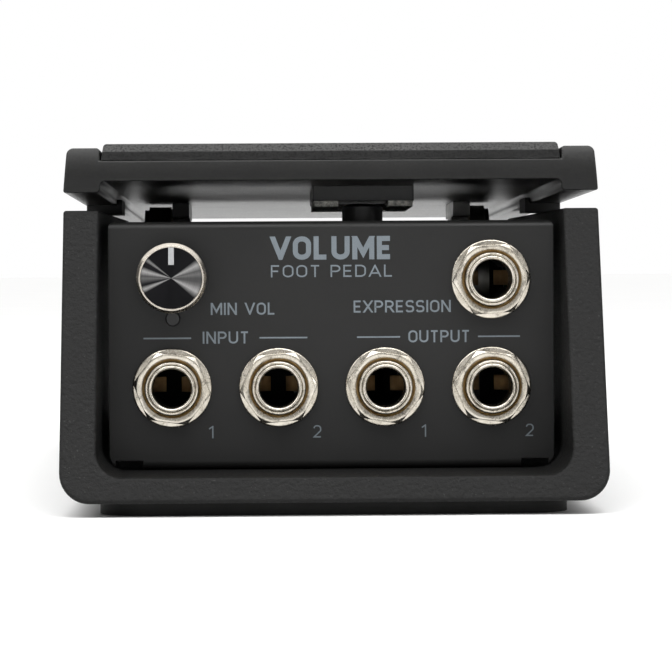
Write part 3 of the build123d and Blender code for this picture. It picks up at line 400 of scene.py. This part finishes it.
def lathe(name, outline, centre, look, body, slot, steps=144):
    """Piece turned about an axis along Y; the outline is a closed loop of (radius, y)."""
    cx, cz = centre
    rings = []
    for r, y in outline:
        turn = [2 * math.pi * k / steps for k in range(steps)]
        rings.append([(cx + r * math.cos(t), y, cz + r * math.sin(t)) for t in turn])
    return piece(name, *ring_mesh(rings), look, body, slot)


def hex_radius(angle, across_flats, corner_r):
    """Distance from the middle to a hexagon's side, its corners slightly rounded."""
    apothem = across_flats / 2
    reach = (apothem - corner_r) / math.cos(math.pi / 6)
    off_flat = abs((angle + math.pi / 6) % (math.pi / 3) - math.pi / 6)
    if off_flat <= math.atan2(reach * math.sin(math.pi / 6), apothem):
        return apothem / math.cos(off_flat)
    off_corner = math.pi / 6 - off_flat
    return reach * math.cos(off_corner) + math.sqrt(corner_r ** 2 - (reach * math.sin(off_corner)) ** 2)


def nut(name, centre, turn, body, steps=240):
    """Hexagon nut: flat ring in front, corners chamfered at 30 degrees, bore countersunk."""
    back = PANEL_Y - WASHER_T
    front = back - NUT_T
    cx, cz = centre
    angles = [2 * math.pi * k / steps for k in range(steps)]
    sides = [hex_radius(t, NUT_ACROSS_FLATS, NUT_CORNER_R) for t in angles]

    def level(radius_of, depth_of):
        ring = []
        for t, side in zip(angles, sides):
            r, y = radius_of(side), depth_of(side)
            a = t + math.radians(turn + 30)
            ring.append((cx + r * math.cos(a), y, cz + r * math.sin(a)))
        return ring

    slope = math.tan(math.radians(CHAMFER_DEGREES))

    def drop(r):
        return front + max(0.0, r - NUT_FLAT_R) * slope

    def chamfer_start(side):
        return min(NUT_FLAT_R + 0.03, side - 0.06)

    rings = [
        level(lambda s: NUT_BORE_R, lambda s: back),
        level(lambda s: NUT_BORE_R, lambda s: front + 0.4),
        level(lambda s: COUNTERSINK_R, lambda s: front + 0.06),
        level(lambda s: COUNTERSINK_R + 0.07, lambda s: front),
        level(lambda s: min(NUT_FLAT_R - 0.04, s - 0.12), lambda s: front),
        level(chamfer_start, lambda s: front + 0.015),
    ]
    for share in (0.25, 0.5, 0.75, 1.0):
        def across(side, f=share):
            return chamfer_start(side) + (side - 0.04 - chamfer_start(side)) * f

        rings.append(level(across, lambda s, r=across: drop(r(s)) + 0.018))
    rings += [
        level(lambda s: s - 0.015, lambda s: drop(s) + 0.04),
        level(lambda s: s, lambda s: drop(s) + 0.12),
        level(lambda s: s, lambda s: back - 0.15),
        level(lambda s: s - 0.12, lambda s: back),
    ]
    made = piece(name, *ring_mesh(rings), LOOKS["nickel"], body, "nickel", sharp=50.0)
    made.data.materials.append(BRASS_EDGE.material)
    for face in made.data.polygons[steps:3 * steps]:
        face.material_index = 1
    return made


sleeve_outline = rounded([
    (3.27, -104.6, 0), (3.27, -112.0, 0.42), (3.96, -112.0, 0.26), (3.96, -111.5, 0.05),
    (4.07, -111.5, 0.05), (4.07, -111.82, 0.1), (4.48, -111.82, 0.2),
    (4.48, -111.35, 0), (4.28, -111.2, 0), (4.48, -111.0, 0), (4.28, -110.8, 0), (4.48, -110.6, 0),
    (4.28, -110.4, 0), (4.48, -110.2, 0), (4.48, -106.0, 0), (6.5, -106.0, 0.1), (6.5, -104.6, 0.1),
])
washer_outline = rounded([
    (4.56, PANEL_Y - 0.02, 0.05), (6.7, PANEL_Y - 0.02, 0.1), (6.7, PANEL_Y - WASHER_T, 0.28),
    (4.56, PANEL_Y - WASHER_T, 0.05),
])
for jack, turn in zip(JACKS, NUT_TURNS):
    spot = JACK_SPOTS[jack]
    sleeve = lathe(jack + "_sleeve", sleeve_outline, spot, LOOKS["nickel"], "base", "nickel")
    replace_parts(sleeve, jack + "_bushing")
    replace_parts(nut(jack + "_nut", spot, turn, "base"), "jack_nuts")
    washer = lathe(jack + "_washer", washer_outline, spot, LOOKS["nickel"], "base", "nickel")
    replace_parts(washer, "jack_washers")

skirt_outline = rounded([
    (5.85, -108.5, 0.2), (5.85, -116.35, 0.05), (5.5, -116.35, 0), (5.15, -116.6, 0), (5.15, -115.8, 0),
    (3.02, -115.8, 0), (3.02, -110.7, 0), (5.3, -110.7, 0), (5.3, -108.5, 0.1),
])
rim_outline = rounded([
    (5.86, -116.3, 0.04), (5.86, -116.45, 0.05), (5.4, -117.0, 0.06), (5.15, -117.0, 0.05),
    (5.15, -116.5, 0), (5.5, -116.3, 0),
])
skirt = lathe("min_vol_knob_skirt", skirt_outline, KNOB, LOOKS["knob_black"], "knob", "knob_black")
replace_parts(skirt, "min_vol_knob")
lathe("min_vol_knob_rim", rim_outline, KNOB, RIM, "knob", "knob_black")


# Letters as strokes on a grid one capital high: (width, open or closed lines of (x, y, corner radius)).
GLYPHS = {
    "A": (0.72, [[(0, 0), (0.36, 1), (0.72, 0)], [(0.12, 0.28), (0.6, 0.28)]]),
    "D": (0.62, [[(0, 0), (0, 1), (0.62, 1, 0.32), (0.62, 0, 0.32), (0, 0)]]),
    "E": (0.5, [[(0.5, 1), (0, 1), (0, 0), (0.5, 0)], [(0, 0.5), (0.45, 0.5)]]),
    "F": (0.5, [[(0.5, 1), (0, 1), (0, 0)], [(0, 0.5), (0.44, 0.5)]]),
    "I": (0.0, [[(0, 0), (0, 1)]]),
    "L": (0.48, [[(0, 1), (0, 0), (0.48, 0)]]),
    "M": (0.8, [[(0, 0), (0, 1)], [(0.04, 1), (0.4, 0.22), (0.76, 1)], [(0.8, 0), (0.8, 1)]]),
    "N": (0.62, [[(0, 0), (0, 1)], [(0.03, 1), (0.59, 0)], [(0.62, 0), (0.62, 1)]]),
    "O": (0.62, [[(0.31, 0), (0, 0, 0.3), (0, 1, 0.3), (0.62, 1, 0.3), (0.62, 0, 0.3), (0.31, 0)]]),
    "P": (0.56, [[(0, 0), (0, 1), (0.56, 1, 0.26), (0.56, 0.46, 0.26), (0, 0.46)]]),
    "R": (0.58, [[(0, 0), (0, 1), (0.56, 1, 0.26), (0.56, 0.46, 0.26), (0, 0.46)], [(0.3, 0.46), (0.58, 0)]]),
    "S": (0.54, [[(0.52, 0.84), (0.46, 1, 0.1), (0, 1, 0.22), (0, 0.5, 0.22), (0.54, 0.5, 0.22),
                  (0.54, 0, 0.22), (0.06, 0, 0.1), (0, 0.16)]]),
    "T": (0.56, [[(0, 1), (0.56, 1)], [(0.28, 1), (0.28, 0)]]),
    "U": (0.62, [[(0, 1), (0, 0, 0.3), (0.62, 0, 0.3), (0.62, 1)]]),
    "V": (0.68, [[(0, 1), (0.34, 0), (0.68, 1)]]),
    "X": (0.6, [[(0, 0), (0.6, 1)], [(0, 1), (0.6, 0)]]),
    "1": (0.3, [[(0, 0.78), (0.3, 1), (0.3, 0)]]),
    "2": (0.56, [[(0, 0.78), (0, 1, 0.22), (0.56, 1, 0.26), (0.56, 0.56, 0.2), (0, 0, 0), (0.56, 0)]]),
    " ": (0.22, []),
}


def open_line(points, steps=6):
    """Centre line of a stroke, with its rounded corners drawn out."""
    line = [Vector(points[0][:2])]
    for i in range(1, len(points) - 1):
        here = Vector(points[i][:2])
        r = points[i][2] if len(points[i]) > 2 else 0
        if not r:
            line.append(here)
            continue
        back = (Vector(points[i - 1][:2]) - here).normalized()
        ahead = (Vector(points[i + 1][:2]) - here).normalized()
        half = back.angle(ahead) / 2
        start = here + back * r / math.tan(half)
        end = here + ahead * r / math.tan(half)
        middle = here + (back + ahead).normalized() * r / math.sin(half)
        turn = (start - middle).angle_signed(end - middle)
        for k in range(steps + 1):
            arm = start - middle
            arm.rotate(Matrix.Rotation(-turn * k / steps, 2))
            line.append(middle + arm)
    line.append(Vector(points[-1][:2]))
    return [p for i, p in enumerate(line) if i == 0 or (p - line[i - 1]).length > 1e-6]


def ribbon(line, half):
    """Left and right edges of a stroke; ends are square and corners mitred."""
    closed = (line[0] - line[-1]).length < 1e-6
    if closed:
        line = line[:-1]
    count = len(line)
    left, right = [], []
    for i, here in enumerate(line):
        before = line[i - 1] if closed or i > 0 else None
        after = line[(i + 1) % count] if closed or i < count - 1 else None
        ways = [(here - before).normalized()] if before is not None else []
        ways += [(after - here).normalized()] if after is not None else []
        way = sum(ways, Vector((0, 0))).normalized()
        side = Vector((-way.y, way.x))
        reach = half / max(0.25, side.dot(Vector((-ways[0].y, ways[0].x))))
        left.append(here + side * reach)
        right.append(here - side * reach)
    return left, right, closed


# The print's back and front, hair-thin on the panel.
PRINT_BACK = PANEL_Y - 0.005
PRINT_FRONT = PANEL_Y - 0.02
RULE_HALF = 0.13


def clipped(corners, level, keep_above):
    """Polygon cut off at a height, keeping the part above or below it."""
    sign = 1 if keep_above else -1
    kept = []
    for i, here in enumerate(corners):
        before = corners[i - 1]
        gap_before, gap = sign * (before.y - level), sign * (here.y - level)
        if gap_before * gap < 0:
            kept.append(before.lerp(here, gap_before / (gap_before - gap)))
        if gap >= 0:
            kept.append(here)
    return kept


def run_out(line, z0, z1, weight):
    """Stroke lengthened past the top and bottom of the capitals, to be cut off level there."""
    line = list(line)
    for end, inner in ((0, 1), (-1, -2)):
        way = (line[end] - line[inner]).normalized()
        if abs(way.y) > 0.5 and min(abs(line[end].y - z0), abs(line[end].y - z1)) < weight:
            line[end] = line[end] + way * weight
    return line


def legend(name, text, x0, x1, z0, z1, weight, spacing=0.3):
    """Printed word that fills a width and a capital height on the panel; weight is the stroke's width."""
    high = z1 - z0 - weight
    advance, strokes = 0.0, []
    for letter in text:
        wide, lines = GLYPHS[letter]
        strokes += [[(p[0] + advance, *p[1:]) for p in line] for line in lines]
        advance += wide + spacing
    stretch = (x1 - x0 - weight) / max(advance - spacing, 1e-6)
    verts, faces = [], []
    for number, stroke in enumerate(strokes):
        line = [Vector((p.x * stretch, p.y * high)) for p in open_line(stroke)]
        line = [p + Vector((x0 + weight / 2, z0 + weight / 2)) for p in line]
        if (line[0] - line[-1]).length > 1e-6:
            line = run_out(line, z0, z1, weight)
        left, right, closed = ribbon(line, weight / 2)
        y = PRINT_FRONT - 0.002 * (number % 3)
        count = len(left)
        for i in range(count if closed else count - 1):
            j = (i + 1) % count
            corners = clipped([left[i], left[j], right[j], right[i]], z0, True)
            corners = clipped(corners, z1, False)
            if len(corners) < 3:
                continue
            first, n = len(verts), len(corners)
            verts += [(c.x, y, c.y) for c in corners] + [(c.x, PRINT_BACK, c.y) for c in corners]
            faces += [tuple(range(first, first + n)), tuple(range(first + 2 * n - 1, first + n - 1, -1))]
            for k in range(n):
                m = (k + 1) % n
                faces.append((first + k, first + m, first + n + m, first + n + k))
    return piece(name, verts, faces, PRINT, "base")


def rule(name, x0, x1, z):
    """Printed line beside a legend."""
    heights = (z - RULE_HALF, z + RULE_HALF)
    corners = [(x, y, h) for y in (PRINT_FRONT, PRINT_BACK) for h in heights for x in (x0, x1)]
    faces = [(0, 1, 3, 2), (4, 6, 7, 5), (0, 4, 5, 1), (2, 3, 7, 6), (0, 2, 6, 4), (1, 5, 7, 3)]
    return piece(name, corners, faces, PRINT, "base")


legend("legend_volume", "VOLUME", -10.2, 10.4, 41.85, 45.8, 0.86, 0.36)
legend("legend_foot_pedal", "FOOT PEDAL", -10.2, 10.4, 38.9, 40.95, 0.26)
legend("legend_min_vol", "MIN VOL", -20.4, -9.5, 32.6, 34.65, 0.3)
legend("legend_expression", "EXPRESSION", 3.75, 20.2, 32.85, 34.9, 0.3)
legend("legend_input", "INPUT", -21.8, -14.0, 27.75, 29.8, 0.3)
legend("legend_output", "OUTPUT", 13.0, 23.4, 27.75, 29.8, 0.3)
for jack in JACKS[:4]:
    x = JACK_SPOTS[jack][0] + 6.5
    number = jack[-1]
    half = 0.42 if number == "1" else 0.66
    legend("legend_" + jack, number, x - half, x + half, 11.75, 13.85, 0.22)
rule("rule_input_left", -31.8, -23.75, 28.7)
rule("rule_input_right", -12.2, -4.1, 28.7)
rule("rule_output_left", 4.3, 11.6, 28.7)
rule("rule_output_right", 24.8, 31.9, 28.7)


# ---- Studio -----------------------------------------------------------------

def softbox(name, place, aim, width, height, power):
    """Rectangular lamp at a place, turned towards a point; metres and watts."""
    data = bpy.data.lights.new(name, "AREA")
    data.shape = "RECTANGLE"
    data.size, data.size_y = width, height
    data.energy = power
    lamp = bpy.data.objects.new(name, data)
    lamp.location = place
    lamp.rotation_mode = "QUATERNION"
    lamp.rotation_quaternion = (Vector(aim) - Vector(place)).to_track_quat("-Z", "Y")
    bpy.context.scene.collection.objects.link(lamp)


softbox("overhead", (0.0, -0.75, 1.0), (0, -0.05, 0.03), 1.3, 0.8, 12.0)
softbox("front", (0.0, -1.7, 0.42), (0, 0, 0.03), 1.8, 1.0, 2.1)
softbox("left", (-0.8, -0.62, 0.5), (0, -0.05, 0.03), 0.3, 0.5, 2.2)
softbox("right", (0.85, -0.6, 0.32), (0, -0.05, 0.03), 0.28, 0.45, 1.5)
sun = bpy.data.objects.new("ceiling", bpy.data.lights.new("ceiling", "SUN"))
sun.data.energy = 3.1
sun.data.angle = math.radians(120)
bpy.context.scene.collection.objects.link(sun)

world = bpy.data.worlds.new("studio")
bpy.context.scene.world = world
world.use_nodes = True
sky = world.node_tree
backing = sky.nodes["Background"]
backing.inputs["Color"].default_value = (0.15, 0.15, 0.15, 1.0)
seen = sky.nodes.new("ShaderNodeBackground")
seen.inputs["Color"].default_value = (1.0, 1.0, 1.0, 1.0)
rays = sky.nodes.new("ShaderNodeLightPath")
either = sky.nodes.new("ShaderNodeMixShader")
sky.links.new(rays.outputs["Is Camera Ray"], either.inputs[0])
sky.links.new(backing.outputs[0], either.inputs[1])
sky.links.new(seen.outputs[0], either.inputs[2])
sky.links.new(either.outputs[0], sky.nodes["World Output"].inputs["Surface"])

pale = Look("studio_floor")
dapple = pale.mix(pale.noise(9.0, 3.0), (0.86, 0.86, 0.855), (0.9, 0.9, 0.895))
pale.set(Base_Color=dapple, Roughness=0.85, Specular_IOR_Level=0.2)
REACH = 12.0
floor_mesh = bpy.data.meshes.new("floor")
floor_corners = [(-REACH, -REACH, 0), (REACH, -REACH, 0), (REACH, REACH, 0), (-REACH, REACH, 0)]
floor_mesh.from_pydata(floor_corners, [], [(0, 1, 2, 3)])
floor_mesh.materials.append(pale.material)
floor = bpy.data.objects.new("floor", floor_mesh)
bpy.context.scene.collection.objects.link(floor)

lens = bpy.data.cameras.new("camera")
lens.lens = 184.85
lens.sensor_width = 36.0
lens.clip_start, lens.clip_end = 0.01, 100.0
camera = bpy.data.objects.new("camera", lens)
camera.location = (-0.0117, -0.691, 0.041)
yaw, pitch, roll = math.radians(1.222), math.radians(1.186), math.radians(-0.35)
ahead = Vector((math.sin(yaw) * math.cos(pitch), math.cos(yaw) * math.cos(pitch), -math.sin(pitch)))
camera.rotation_mode = "QUATERNION"
camera.rotation_quaternion = ahead.to_track_quat("-Z", "Y") @ Quaternion((0, 0, 1), roll)
bpy.context.scene.collection.objects.link(camera)
bpy.context.scene.camera = camera
bpy.context.scene.view_settings.view_transform = "Standard"
